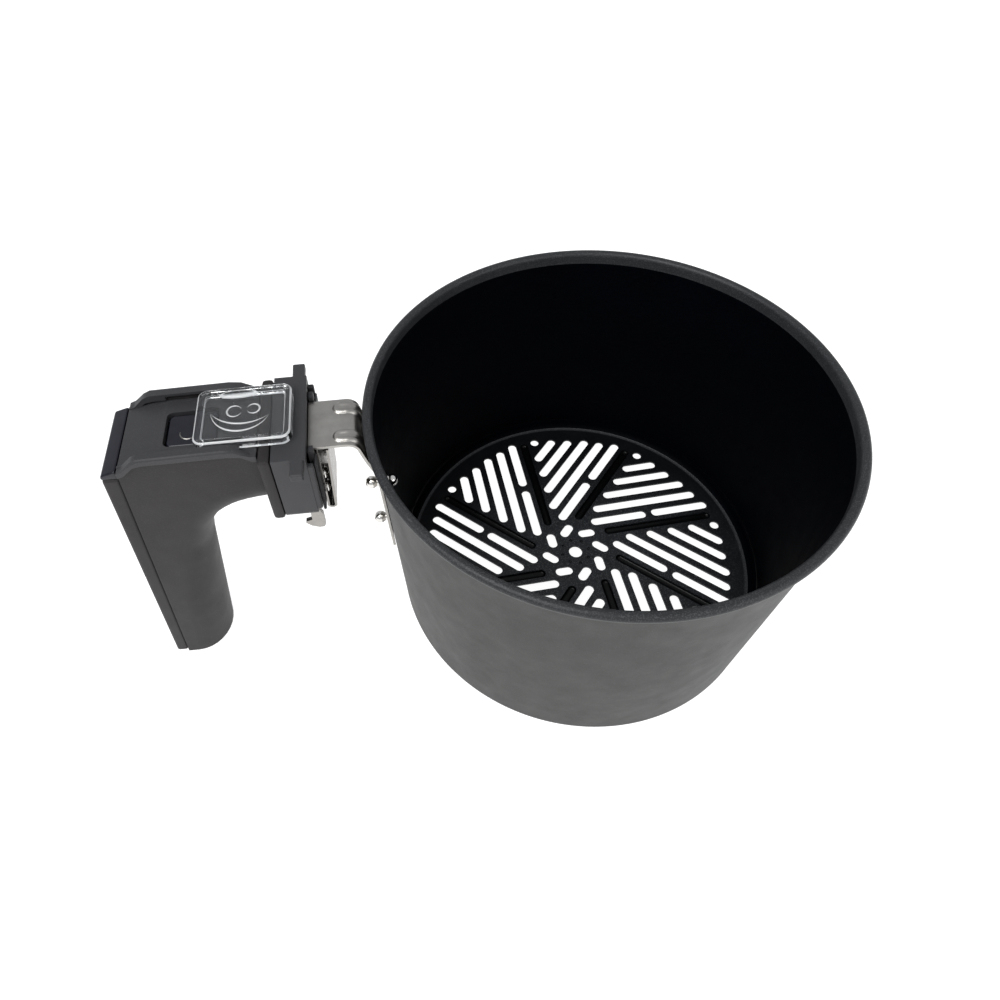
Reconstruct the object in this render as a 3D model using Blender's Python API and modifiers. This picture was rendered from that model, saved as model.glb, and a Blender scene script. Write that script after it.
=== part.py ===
"""Air fryer basket with its handle and release latch.

All shapes are drawn around the basket: x = 0, y = 0 is the basket's axis and z = 0 its foot ring, with the
handle towards -X. The parent empty then stands that origin where the part's own frame needs it. Lengths are
written in millimetres and turned into metres by mm().
"""

import bmesh
import bpy
from math import asin, cos, pi, radians, sin

from mathutils import Matrix, Vector


def mm(value):
    return value * 0.001


# Driving dimensions, millimetres
GAP = 0.3                      # clearance between pieces that touch
OVERLAP = 1.0                  # how far a cutter runs past the face it cuts
BASKET_AXIS_X = 58.65          # basket axis in the part's frame
FOOT_Z = 22.6                  # foot ring in the part's frame: the grip hangs lower than the basket

RIM_R = 102.5                  # outer radius of the rolled rim
RIM_Z = 129.3                  # top of the rolled rim
WALL_TOP_R, WALL_TOP_Z = 99.2, 124.6
WALL_FOOT_R = 91.9             # outer radius the wall's straight line reaches at z = 0
SHEET = 0.9                    # basket sheet
FOOT_FILLET, FOOT_TURN = 4.5, 58.0      # the foot curls in through this angle, degrees
BASKET_STEPS = 72

FLOOR_Z = 9.8                  # top of the perforated floor
FLOOR_SHEET = 1.0
FLOOR_FILLET_R = 86.4          # where the floor starts to turn up to the wall
FLOOR_FILLET = 4.0
SECTORS = 8
SLOT_W = 4.8
SLOT_ANGLE = 93.8              # direction of sector 0's slots, degrees
CENTRE_HOLE_R = 3.5
SLOT_PITCH = 8.16
SLOT_ROW_0 = 17.0              # distance of the row nearest the axis
SLOT_ENDS = ((13.7, 44.9), (17.3, 75.9), (25.6, 72.4), (34.1, 66.9), (42.3, 61.7), (51.2, 56.0))
OUTER_SLOT_ENDS = (48.1, 79.9)
SMALL_SLOT = (10.6, 4.6, 13.7)
GROOVE_OFFSET, GROOVE_START, GROOVE_END = 9.8, 19.0, 79.0
GROOVE_W, GROOVE_DEPTH = 4.6, 1.5
DIMPLE_CIRCLE_R, DIMPLE_R, DIMPLE_DEPTH = 7.3, 0.8, 0.4

STRAP_Y = 12.85                # half width of the bracket strap
STRAP_T = 1.2
STRAP_TOP_Z = 128.8
STRAP_END_X = -150.0
PAD_TOP_Z, PAD_FOOT_Z = 106.0, 53.0
RIB_Y = 7.8
RIVET_Z = {"upper": 87.0, "lower": 59.5}
RIVET_SHANK_R = 1.6
RIVET_HOLE_R = 1.9

HANDLE_Y = 18.5                # half width of the handle
HANDLE_WALL = 1.8
FLANGE_X = (-143.5, -138.4)
FLANGE_Y = 23.3
COLLAR_Z = (97.6, 134.5)
COLLAR_X = (-138.1, -124.5)
COLLAR_WALL = 2.7
EAR_X = (-130.5, -125.3)
EAR_Y = 31.0
EAR_T = 3.7

BRACKET_SCREW_X, BRACKET_SCREW_Y = -131.5, 7.0
CHANNEL_SCREW_Y = 9.9
CHANNEL_SCREW_Z = (109.4, 100.4)
HOUSING_PLATE_X, CHEEK_X = (-124.2, -122.2), (-122.5, -121.3)
CHANNEL_LEG_X = (-121.9, -116.6)     # outer faces of the channel's two legs
CHANNEL_LEG_T = 1.0

BUTTON_X, BUTTON_TOP_Z = -170.5, 132.6
BUTTON_L, BUTTON_W, BUTTON_H = 20.4, 16.8, 4.6
RECESS_L, RECESS_W = 22.0, 18.6
STEM_R, STEM_FOOT_Z = 2.6, 112.9
SHELF_Z = (116.0, 118.0)
SPRING_R, SPRING_WIRE_R, SPRING_TURNS = 4.2, 0.45, 4.5

PIVOT_X, PIVOT_Z, PIVOT_R = -127.2, 115.5, 1.5
LEVER_T = 1.6
LEVER_TOP_Z = 112.6
PRONG_Y = (17.3, 19.3)

GUARD_X = (-168.0, -129.5)
GUARD_Y = 15.0
GUARD_Z = (134.9, 139.6)
GUARD_LUG_Z = (135.6, 136.8)
GROOVE_RAIL_Z = (134.1, 137.1)
CHANNEL_Y = 15.4               # half width of the channel between the rails


# Scene, materials and small helpers

for old in list(bpy.data.objects):
    bpy.data.objects.remove(old, do_unlink=True)

parts = bpy.data.collections.new("air_fryer_basket")
cutters = bpy.data.collections.new("cutters")
for collection in (parts, cutters):
    bpy.context.scene.collection.children.link(collection)

frame = bpy.data.objects.new("basket_axis", None)
frame.location = (mm(BASKET_AXIS_X), 0, mm(FOOT_Z))
parts.objects.link(frame)


def material(name, colour, roughness, metallic=0.0, alpha=1.0):
    made = bpy.data.materials.new(name)
    made.use_nodes = True
    shader = made.node_tree.nodes["Principled BSDF"]
    shader.inputs["Base Color"].default_value = (*colour, 1)
    shader.inputs["Roughness"].default_value = roughness
    shader.inputs["Metallic"].default_value = metallic
    shader.inputs["Alpha"].default_value = alpha
    return made


COATING = material("dark_coating", (0.06, 0.06, 0.058), 0.55, 0.2)
FLOOR_COATING = material("floor_coating", (0.02, 0.021, 0.023), 0.45, 0.2)
BODY_PLASTIC = material("body_plastic", (0.055, 0.05, 0.05), 0.5)
COVER_PLASTIC = material("cover_plastic", (0.07, 0.07, 0.075), 0.45)
GLOSS_PLASTIC = material("gloss_plastic", (0.008, 0.008, 0.012), 0.12)
SATIN_STEEL = material("satin_steel", (0.45, 0.43, 0.4), 0.35, 1.0)
POLISHED_STEEL = material("polished_steel", (0.75, 0.74, 0.72), 0.12, 1.0)
CLEAR_PLASTIC = material("clear_plastic", (0.9, 0.92, 0.93), 0.08, 0.0, 0.35)


def finish(made, look=None):
    """Parents a part to the basket's axis, or files a cutter away."""
    made.parent = frame
    if look is None:
        cutters.objects.link(made)
        made.hide_render = True
        made.display_type = "WIRE"
    else:
        parts.objects.link(made)
        made.data.materials.clear()
        made.data.materials.append(look)
        made.data.shade_smooth()
        made.data.set_sharp_from_angle(angle=radians(35))
    return made


def from_bmesh(name, mesh_builder, look=None):
    mesh = bpy.data.meshes.new(name)
    mesh_builder.to_mesh(mesh)
    mesh_builder.free()
    return finish(bpy.data.objects.new(name, mesh), look)


def box(name, x, y, z, look=None, origin=(0, 0, 0)):
    """A block between two corners given as pairs; origin is where the object's own origin sits."""
    size = Vector((x[1] - x[0], y[1] - y[0], z[1] - z[0]))
    centre = Vector((x[0] + x[1], y[0] + y[1], z[0] + z[1])) / 2 - Vector(origin)
    builder = bmesh.new()
    place = Matrix.Translation(centre * 0.001) @ Matrix.Diagonal((*(size * 0.001), 1))
    bmesh.ops.create_cube(builder, size=1, matrix=place)
    made = from_bmesh(name, builder, look)
    made.location = Vector(origin) * 0.001
    return made


def rod(name, radius, start, end, look=None, sides=24, end_radius=None):
    """A straight cylinder or cone between two points."""
    start, end = Vector(start), Vector(end)
    along = end - start
    turn = along.to_track_quat("Z", "Y").to_matrix().to_4x4()
    builder = bmesh.new()
    bmesh.ops.create_cone(
        builder, cap_ends=True, segments=sides, radius1=mm(radius),
        radius2=mm(radius if end_radius is None else end_radius), depth=mm(along.length),
        matrix=Matrix.Translation((start + end) * 0.0005) @ turn)
    return from_bmesh(name, builder, look)


def plate(name, outline, y, look=None, origin=(0, 0, 0)):
    """A flat outline in the XZ plane, given in order, made thick between two y values."""
    curve = bpy.data.curves.new(name, "CURVE")
    curve.dimensions = "2D"
    curve.fill_mode = "BOTH"
    curve.extrude = mm(y[1] - y[0]) / 2
    spline = curve.splines.new("POLY")
    spline.points.add(len(outline) - 1)
    for point, (x, z) in zip(spline.points, outline):
        point.co = (mm(x), mm(z), 0, 1)
    spline.use_cyclic_u = True
    stand = Matrix.Translation((0, mm(y[0] + y[1]) / 2, 0)) @ Matrix.Rotation(pi / 2, 4, "X")
    return curve_to_mesh(name, curve, stand, look, origin)


def curve_to_mesh(name, curve, place, look, origin=(0, 0, 0)):
    holder = bpy.data.objects.new(name + "_curve", curve)
    bpy.context.scene.collection.objects.link(holder)
    evaluated = holder.evaluated_get(bpy.context.evaluated_depsgraph_get())
    mesh = bpy.data.meshes.new_from_object(evaluated)
    bpy.data.objects.remove(holder)
    mesh.transform(Matrix.Translation(Vector(origin) * -0.001) @ place)
    builder = bmesh.new()
    builder.from_mesh(mesh)
    bmesh.ops.remove_doubles(builder, verts=builder.verts, dist=0.00001)
    bmesh.ops.dissolve_limit(builder, angle_limit=radians(0.5), verts=builder.verts, edges=builder.edges)
    bmesh.ops.recalc_face_normals(builder, faces=builder.faces)
    bpy.data.meshes.remove(mesh)
    made = from_bmesh(name, builder, look)
    made.location = Vector(origin) * 0.001
    return made


def turned(name, profile, steps, look=None, angle=2 * pi):
    """A profile of (radius, z) turned about Z; it runs down the outer side."""
    builder = bmesh.new()
    verts = [builder.verts.new((mm(r), 0, mm(z))) for r, z in profile]
    for first, second in zip(verts, verts[1:]):
        builder.edges.new((first, second))
    if angle == 2 * pi and profile[0][0] > 0:
        builder.edges.new((verts[-1], verts[0]))
    made = from_bmesh(name, builder, look)
    screw = made.modifiers.new("turn", "SCREW")
    screw.angle = angle
    screw.steps = steps
    screw.render_steps = steps
    screw.use_merge_vertices = True
    screw.merge_threshold = 0.00001
    return made


def arc(centre, radius, start, end, count):
    """Points on an arc, degrees from the first axis, both ends included."""
    angles = (radians(start + (end - start) * i / count) for i in range(count + 1))
    return [(centre[0] + radius * cos(a), centre[1] + radius * sin(a)) for a in angles]


def boolean(target, other, operation="DIFFERENCE"):
    step = target.modifiers.new(operation.lower(), "BOOLEAN")
    step.operation = operation
    step.object = other
    step.solver = "EXACT"
    return target


def cut(target, *others):
    for other in others:
        boolean(target, other)


def add(target, *others):
    for other in others:
        boolean(target, other, "UNION")


def soften(target, width, segments=2, angle=40):
    step = target.modifiers.new("soften", "BEVEL")
    step.width = mm(width)
    step.segments = segments
    step.limit_method = "ANGLE"
    step.angle_limit = radians(angle)
    step.harden_normals = False
    return target


def bevel_edges(made, width, segments, chosen):
    """Rounds the edges for which chosen(edge) is true, in the mesh itself."""
    builder = bmesh.new()
    builder.from_mesh(made.data)
    picked = [edge for edge in builder.edges if chosen(edge)]
    bmesh.ops.bevel(builder, geom=picked, offset=mm(width), segments=segments, profile=0.5, affect="EDGES",
                    clamp_overlap=True)
    builder.to_mesh(made.data)
    builder.free()
    made.data.shade_smooth()
    made.data.set_sharp_from_angle(angle=radians(35))


def joined(name, objects):
    """One cutter made of several separate closed shapes that don't touch."""
    builder = bmesh.new()
    for each in objects:
        copy = each.data.copy()
        copy.transform(each.matrix_basis)
        builder.from_mesh(copy)
        bpy.data.meshes.remove(copy)
        bpy.data.objects.remove(each, do_unlink=True)
    return from_bmesh(name, builder)


def wall_r(z):
    """Outer radius of the basket wall at a height."""
    return WALL_FOOT_R + (WALL_TOP_R - WALL_FOOT_R) * z / WALL_TOP_Z


# Basket

def make_basket_shell():
    """Tapered wall with a rolled rim and a foot that curls inwards."""
    lip_r = 2.1
    lip = (RIM_R - lip_r, RIM_Z - lip_r)
    foot = (wall_r(FOOT_FILLET) - FOOT_FILLET, FOOT_FILLET * sin(radians(FOOT_TURN)))
    profile = arc(lip, lip_r, 150, -80, 9)
    profile += [(WALL_TOP_R + 0.3, WALL_TOP_Z - 0.6), (wall_r(60), 60)]
    profile += arc(foot, FOOT_FILLET, 0, -FOOT_TURN, 5)
    profile += [(foot[0] + 1.8, 0)]
    profile += arc(foot, FOOT_FILLET - SHEET, -FOOT_TURN, 0, 5)
    profile += [(wall_r(60) - SHEET, 60), (WALL_TOP_R - SHEET, WALL_TOP_Z)]
    shell = turned("basket_shell", profile, BASKET_STEPS, COATING)
    cut(shell, rivet_holes("shell_rivet_holes"))
    return shell


def rivet_holes(name):
    holes = []
    for z in RIVET_Z.values():
        radius = wall_r(z)
        holes.append(rod(f"{name}_{z}", RIVET_HOLE_R, (4 - radius, 0, z), (-radius - 5, 0, z), sides=16))
    return joined(name, holes)


def slot_cutter(name, offset, start, end, width, sector, depth=4.0, side_count=4):
    """A round-ended slot through the floor, offset from the axis and parallel to its sector's direction."""
    radius = width / 2
    outline = arc((end - radius, -offset), radius, -90, 90, side_count)
    outline += arc((start + radius, -offset), radius, 90, 270, side_count)
    turn = radians(SLOT_ANGLE - sector * 360 / SECTORS)
    builder = bmesh.new()
    low = FLOOR_Z - depth
    verts = [builder.verts.new((mm(a), mm(-b), mm(low))) for a, b in outline]
    face = builder.faces.new(verts)
    grown = bmesh.ops.extrude_face_region(builder, geom=[face])["geom"]
    raised = [item for item in grown if isinstance(item, bmesh.types.BMVert)]
    bmesh.ops.translate(builder, verts=raised, vec=(0, 0, mm(depth + OVERLAP)))
    bmesh.ops.recalc_face_normals(builder, faces=builder.faces)
    bmesh.ops.rotate(builder, verts=builder.verts, matrix=Matrix.Rotation(turn, 3, "Z"))
    return from_bmesh(name, builder)


def groove_body(name, sector, width, depth, top):
    """A round-ended trough shape below top: a sphere pulled out to a capsule, pressed flat and cut level."""
    builder = bmesh.new()
    bmesh.ops.create_uvsphere(builder, u_segments=8, v_segments=5, radius=1)
    bmesh.ops.rotate(builder, verts=builder.verts, matrix=Matrix.Rotation(pi / 2, 3, "Y"))
    for vert in builder.verts:
        end = GROOVE_END - width / 2 if vert.co.x > 0 else GROOVE_START + width / 2
        vert.co = (mm(end + vert.co.x * width / 2), mm(GROOVE_OFFSET + vert.co.y * width / 2),
                   mm(top + min(vert.co.z, 0.15) * depth))
    turn = radians(SLOT_ANGLE - sector * 360 / SECTORS)
    bmesh.ops.rotate(builder, verts=builder.verts, matrix=Matrix.Rotation(turn, 3, "Z"))
    return from_bmesh(name, builder)


def make_basket_floor():
    """Perforated plate with its edge turned up against the wall."""
    edge_r = FLOOR_FILLET_R + FLOOR_FILLET
    corner = (FLOOR_FILLET_R, FLOOR_Z + FLOOR_FILLET)
    low = FLOOR_Z - FLOOR_SHEET
    profile = [(edge_r + 0.1, corner[1] + 0.6), (edge_r + FLOOR_SHEET, corner[1] + 0.6)]
    profile += arc(corner, FLOOR_FILLET + FLOOR_SHEET, 0, -90, 5)
    profile += [(CENTRE_HOLE_R, low), (CENTRE_HOLE_R, FLOOR_Z)]
    profile += arc(corner, FLOOR_FILLET, -90, -8, 4)
    plate_floor = turned("basket_floor", profile, BASKET_STEPS, FLOOR_COATING)
    ridges, troughs, slots = [], [], []
    for sector in range(SECTORS):
        ridges.append(groove_body(f"ridge_{sector}", sector, GROOVE_W + 1.6, GROOVE_DEPTH + 0.9, low + 0.5))
        troughs.append(groove_body(f"trough_{sector}", sector, GROOVE_W, GROOVE_DEPTH, FLOOR_Z + 0.05))
        for row, (start, end) in enumerate(SLOT_ENDS):
            offset = SLOT_ROW_0 + row * SLOT_PITCH
            slots.append(slot_cutter(f"slot_{sector}_{row}", offset, start, end, SLOT_W, sector))
        slots.append(slot_cutter(f"slot_{sector}_outer", SLOT_ROW_0, *OUTER_SLOT_ENDS, SLOT_W, sector))
        slots.append(slot_cutter(f"slot_{sector}_small", *SMALL_SLOT, SLOT_W, sector))
        angle = radians(9 + sector * 360 / SECTORS)
        centre = Vector((cos(angle), sin(angle), 0)) * DIMPLE_CIRCLE_R
        slots.append(rod(f"dimple_{sector}", DIMPLE_R, centre + Vector((0, 0, FLOOR_Z - DIMPLE_DEPTH)),
                         centre + Vector((0, 0, FLOOR_Z + 1)), sides=6))
    add(plate_floor, joined("floor_ridges", ridges))
    cut(plate_floor, joined("floor_troughs", troughs), joined("floor_slots", slots))
    return plate_floor


def bracket_screw(side, z):
    """A point on the axis of one of the two screws that hold the strap in the collar."""
    return (BRACKET_SCREW_X, side * BRACKET_SCREW_Y, z)


def make_bracket():
    """Strap from the collar that bends down the wall and ends in a pad curved to it."""
    bend_r = 5.5
    bend = (-109.0, STRAP_TOP_Z - bend_r)
    slope_top = arc(bend, bend_r, 90, 20, 6)
    slope_under = arc(bend, bend_r - STRAP_T, 20, 90, 6)
    foot_r = wall_r(PAD_TOP_Z) + GAP
    outline = [(STRAP_END_X, STRAP_TOP_Z)] + slope_top
    outline += [(-foot_r - 0.2, PAD_TOP_Z + 4), (-foot_r - 0.2, PAD_TOP_Z - 2)]
    outline += [(-foot_r - STRAP_T, PAD_TOP_Z - 2), (-foot_r - STRAP_T - 0.2, PAD_TOP_Z + 3.6)]
    outline += slope_under + [(STRAP_END_X, STRAP_TOP_Z - STRAP_T)]
    strap = plate("handle_bracket", outline, (-STRAP_Y, STRAP_Y), SATIN_STEEL)
    half_angle = asin(STRAP_Y / wall_r(80))
    profile = [(wall_r(z) + GAP, z) for z in (PAD_TOP_Z, 80.0, PAD_FOOT_Z)]
    pad = turned("bracket_pad", profile, 6, angle=2 * half_angle)
    pad.rotation_euler = (0, 0, pi - half_angle)
    thick = pad.modifiers.new("sheet", "SOLIDIFY")
    thick.thickness = mm(STRAP_T)
    thick.offset = 1
    thick.use_even_offset = True
    add(strap, pad)
    for side in (-1, 1):
        start = Vector((-111.0, side * RIB_Y, STRAP_TOP_Z - 0.1))
        rib = rib_body(f"bracket_rib_{side}", start, 3.8, 5.8, 0.9)
        add(strap, rib)
    cut(strap, rivet_holes("pad_rivet_holes"))
    for side in (-1, 1):
        cut(strap, rod(f"strap_screw_hole_{side}", 1.9, bracket_screw(side, STRAP_TOP_Z - 3),
                       bracket_screw(side, STRAP_TOP_Z + 2), sides=16))
    return strap


def rib_body(name, centre_start, length, width, height):
    """A flattened capsule lying along X, half sunk in the face it stiffens."""
    builder = bmesh.new()
    bmesh.ops.create_uvsphere(builder, u_segments=12, v_segments=7, radius=1)
    bmesh.ops.rotate(builder, verts=builder.verts, matrix=Matrix.Rotation(pi / 2, 3, "Y"))
    for vert in builder.verts:
        shift = length if vert.co.x > 0 else width / 2
        vert.co = (mm(shift - width / 2 + vert.co.x * width / 2), mm(vert.co.y * width / 2),
                   mm(vert.co.z * height))
    made = from_bmesh(name, builder)
    made.location = centre_start * 0.001
    return made


def make_rivets():
    """Polished rivets on the strap's middle line: a ball head on a neck outside, a disc and dome inside."""
    for level, z in RIVET_Z.items():
        inner_face = -(SHEET + GAP + 0.1)
        outer_face = GAP + STRAP_T + GAP + 0.1
        profile = [(0, outer_face + 6.4)]
        profile += arc((0, outer_face + 3.4), 3.0, 75, -30, 6)
        profile += [(2.1, outer_face + 1.5), (2.1, outer_face)]
        profile += [(RIVET_SHANK_R, outer_face), (RIVET_SHANK_R, inner_face), (3.7, inner_face)]
        profile += [(3.7, inner_face - 0.7), (2.7, inner_face - 1.0)]
        profile += arc((0, inner_face - 2.4), 2.8, 10, -75, 5)
        profile += [(0, inner_face - 5.2)]
        rivet = turned(f"rivet_{level}", profile, 20, POLISHED_STEEL)
        rivet.location = (mm(-wall_r(z)), 0, mm(z))
        rivet.rotation_euler = (0, -pi / 2, 0)


# Handle

PARTING_TOP, PARTING_FOOT = Vector((-199.2, 126.2)), Vector((-213.5, -FOOT_Z))
BACK_TOP, BACK_FOOT = Vector((-206.6, 126.2)), Vector((-219.8, -FOOT_Z))
UNDERSIDE = (-150.0, 96.5)
BEND_CONTROL = (-175.0, 93.0)
GRIP_TOP, GRIP_FOOT = (-179.6, 62.0), (-190.7, -FOOT_Z)
ARM_TOP = ((-143.5, 131.0), (-145.5, 131.0), (-149.5, 134.2), (-155.0, 134.9), (-188.0, 134.6),
           (-191.5, 133.8), (-196.5, 129.4), (-199.0, 128.4))


def bezier(first, control, last, count):
    points = []
    for i in range(count + 1):
        t = i / count
        points.append(tuple((1 - t) ** 2 * a + 2 * t * (1 - t) * b + t * t * c
                            for a, b, c in zip(first, control, last)))
    return points


def handle_stations(clearance=0.0, reach=0.0, foot=-FOOT_Z):
    """Pairs of points across the handle, from the collar round the bend to the grip's foot.

    Each pair is the inner line's point, moved in by the clearance, and the outer line's, moved out by reach.
    """
    inner = [(FLANGE_X[0], 97.3), (FLANGE_X[0] - 2.0, 97.1)] + bezier(UNDERSIDE, BEND_CONTROL, GRIP_TOP, 12)
    outer = list(ARM_TOP[:4]) + [(-161.0, 134.8), (-167.0, 134.8), (-174.0, 134.7), (-181.0, 134.7)]
    outer += list(ARM_TOP[4:]) + [tuple(PARTING_TOP)]
    outer += [tuple(PARTING_TOP.lerp(PARTING_FOOT, share)) for share in (0.14, 0.32)]
    share = (foot + FOOT_Z) / (GRIP_TOP[1] + FOOT_Z)
    inner.append(tuple(Vector(GRIP_FOOT).lerp(Vector(GRIP_TOP), share)))
    share = (foot + FOOT_Z) / (PARTING_TOP.y + FOOT_Z)
    outer.append(tuple(PARTING_FOOT.lerp(PARTING_TOP, share)))
    stations = []
    for near, far in zip(inner, outer):
        across = (Vector(far) - Vector(near)).normalized()
        stations.append((Vector(near) + across * clearance, Vector(far) + across * reach))
    return stations


def handle_body(name, stations, half_width, round_depth, look=None, arc_count=16):
    """Lofts a U-shaped section, open side outwards, through the stations."""
    builder = bmesh.new()
    rings = []
    for near, far in stations:
        across = (far - near).normalized()
        centre = near + across * round_depth
        ring = [builder.verts.new((mm(far.x), mm(-half_width), mm(far.y)))]
        for i in range(arc_count + 1):
            angle = pi * i / arc_count
            point = centre - across * round_depth * sin(angle)
            ring.append(builder.verts.new((mm(point.x), mm(-half_width * cos(angle)), mm(point.y))))
        ring.append(builder.verts.new((mm(far.x), mm(half_width), mm(far.y))))
        rings.append(ring)
    for first, second in zip(rings, rings[1:]):
        for i in range(len(first)):
            j = (i + 1) % len(first)
            builder.faces.new((first[i], first[j], second[j], second[i]))
    builder.faces.new(rings[0])
    builder.faces.new(rings[-1][::-1])
    bmesh.ops.recalc_face_normals(builder, faces=builder.faces)
    return from_bmesh(name, builder, look)


def make_handle_shell():
    """Hollow arm and grip, open at the top and at the back, with the flange that meets the collar."""
    shell = handle_body("handle_shell", handle_stations(), HANDLE_Y, 17.0, BODY_PLASTIC)
    inner_y = HANDLE_Y - HANDLE_WALL
    stations = handle_stations(2.4, 24.0, -FOOT_Z + 3.0)
    front = stations[0]
    shift = Vector((-1.5, 0))
    stations[0] = (front[0] + shift, front[1] + shift)
    cut(shell, handle_body("handle_hollow", stations, inner_y, 15.2, arc_count=8))

    flange = box("handle_flange", FLANGE_X, (-FLANGE_Y, FLANGE_Y), (97.0, COLLAR_Z[1]))
    soften(flange, 1.6, 2)
    add(shell, flange)
    cut(shell, box("flange_window", (FLANGE_X[0] - 4, FLANGE_X[1] + 1), (-13.4, 13.4), (104.0, 129.3)))
    add(shell, box("spring_shelf", (-186.0, -158.0), (-inner_y - 0.5, inner_y + 0.5), SHELF_Z))
    cut(shell, rod("stem_hole", STEM_R + GAP, (BUTTON_X, 0, SHELF_Z[0] - 1), (BUTTON_X, 0, SHELF_Z[1] + 1)))
    return shell


def make_fascia():
    """Cover strip that closes the grip's back."""
    gap = Vector((-GAP, 0))
    outline = [PARTING_TOP + gap, PARTING_FOOT + gap, BACK_FOOT, BACK_TOP]
    fascia = plate("handle_fascia", [tuple(point) for point in outline], (-17.8, 17.8), BODY_PLASTIC)
    return soften(fascia, 1.4, 3)


def make_end_trim():
    """Gloss strip over the corner where the arm meets the fascia."""
    outline = [(-199.5, PARTING_TOP.y + GAP), (-206.6, PARTING_TOP.y + GAP), (-206.4, 128.4), (-205.2, 129.5),
               (-199.5, 131.2)]
    trim = plate("end_trim", outline, (-17.8, 17.8), GLOSS_PLASTIC)
    return soften(trim, 0.8, 2)


def make_top_cover():
    """Deck between two rails, with the button's recess and the guard's grooves."""
    rail_top = [(-143.8, 134.4), (-146.2, 134.5), (-151.0, 138.0), (-156.0, 138.7), (-174.0, 138.4),
                (-189.0, 138.1), (-192.0, 136.6), (-196.5, 132.4), (-198.9, 131.4)]
    under = [(x, z + GAP) for x, z in ARM_TOP[1:]]
    under[-1] = (-198.9, under[-1][1])
    outline = rail_top + under[::-1] + [(-143.8, 131.3)]
    cover = plate("top_cover", outline, (-19.5, 19.5), COVER_PLASTIC)
    bevel_edges(cover, 1.2, 2, lambda e: abs(e.verts[0].co.y - e.verts[1].co.y) < 1e-6
                and min(v.co.z for v in e.verts) > mm(131.35)
                and max(v.co.z for v in e.verts) > mm(135.8))
    insert = plate("cover_insert", [(-145.4, 129.6), (-145.4, 134.0), (-182.0, 134.0), (-198.9, 131.9),
                                     (-198.9, 129.6)],
                   (-16.4, 16.4))
    add(cover, insert)
    deck = [(-142.0, 133.6), (-142.0, 145.0), (-204.0, 145.0), (-204.0, 131.0), (-198.9, 131.3),
            (-182.0, 133.6)]
    cut(cover, plate("deck_channel", deck, (-CHANNEL_Y, CHANNEL_Y)))
    recess = box("button_recess", (BUTTON_X - RECESS_L / 2, BUTTON_X + RECESS_L / 2),
                 (-RECESS_W / 2, RECESS_W / 2), (125.0, 140.0))
    bevel_edges(recess, 2.5, 4, lambda e: abs(e.verts[0].co.z - e.verts[1].co.z) > mm(5))
    cut(cover, recess)
    cut(cover, box("guide_grooves", (-182.5, -142.0), (-17.2, 17.2), GROOVE_RAIL_Z))
    return cover


def make_collar():
    """Block between handle and basket: a square sleeve with hanging ears and a rim round its rear."""
    y = FLANGE_Y
    block = box("collar_block", COLLAR_X, (-y, y), COLLAR_Z, COVER_PLASTIC)
    bevel_edges(block, 3.0, 3, lambda e: abs(e.verts[0].co.x - e.verts[1].co.x) > mm(5)
                and max(v.co.z for v in e.verts) < mm(110))
    for side in (-1, 1):
        wall = sorted((side * (y - 2.5), side * (y - 0.2)))
        rim = box(f"collar_rim_{side}", (COLLAR_X[1] - 1, -122.2), wall, (101.5, 129.5))
        soften(rim, 0.7, 2)
        add(block, rim)
    ears = box("collar_ears", EAR_X, (-EAR_Y, EAR_Y), (COLLAR_Z[1] - EAR_T, COLLAR_Z[1]))
    soften(ears, 0.5, 1)
    add(block, ears)
    inner_y = y - COLLAR_WALL
    cut(block, box("collar_hollow", (COLLAR_X[0] - 1, COLLAR_X[1] + 1), (-inner_y, inner_y),
                   (COLLAR_Z[0] + 2.4, COLLAR_Z[1] - 3.0)))
    for side in (-1, 1):
        boss = rod(f"screw_boss_{side}", 3.6, bracket_screw(side, STRAP_TOP_Z + GAP),
                   bracket_screw(side, COLLAR_Z[1] - 2.0))
        add(block, boss)
        cut(block, rod(f"boss_bore_{side}", 1.8, bracket_screw(side, STRAP_TOP_Z - 1),
                       bracket_screw(side, COLLAR_Z[1] - 1.2), sides=16))
        wall = sorted((side * (PRONG_Y[0] - 0.4), side * (PRONG_Y[1] + 0.4)))
        cut(block, box(f"prong_slot_{side}", (-129.6, COLLAR_X[1] + 1), wall, (95.0, 103.0)))
    cut(block, rod("pivot_bore", PIVOT_R + 0.1, (PIVOT_X, -y + 1.0, PIVOT_Z), (PIVOT_X, y - 1.0, PIVOT_Z)))
    return block


def make_latch_housing():
    """Rear plate of the collar with two cheeks beside the steel channel and a notch for the strap."""
    plate_part = box("latch_housing", HOUSING_PLATE_X, (-16.8, 16.8), (96.6, 131.0), COVER_PLASTIC)
    for side in (-1, 1):
        cheek_y = sorted((side * 13.6, side * 20.5))
        cheek = box(f"cheek_{side}", CHEEK_X, cheek_y, (96.6, 127.0))
        soften(cheek, 0.6, 1)
        add(plate_part, cheek)
    cut(plate_part, box("strap_notch", (-126.0, -121.0), (-13.3, 13.3), (STRAP_TOP_Z - STRAP_T - GAP, 132.0)))
    for z in CHANNEL_SCREW_Z:
        for side in (-1, 1):
            cut(plate_part, rod(f"housing_bore_{z}_{side}", 1.5, (-126, side * CHANNEL_SCREW_Y, z),
                                (-120, side * CHANNEL_SCREW_Y, z), sides=16))
    return plate_part


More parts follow.
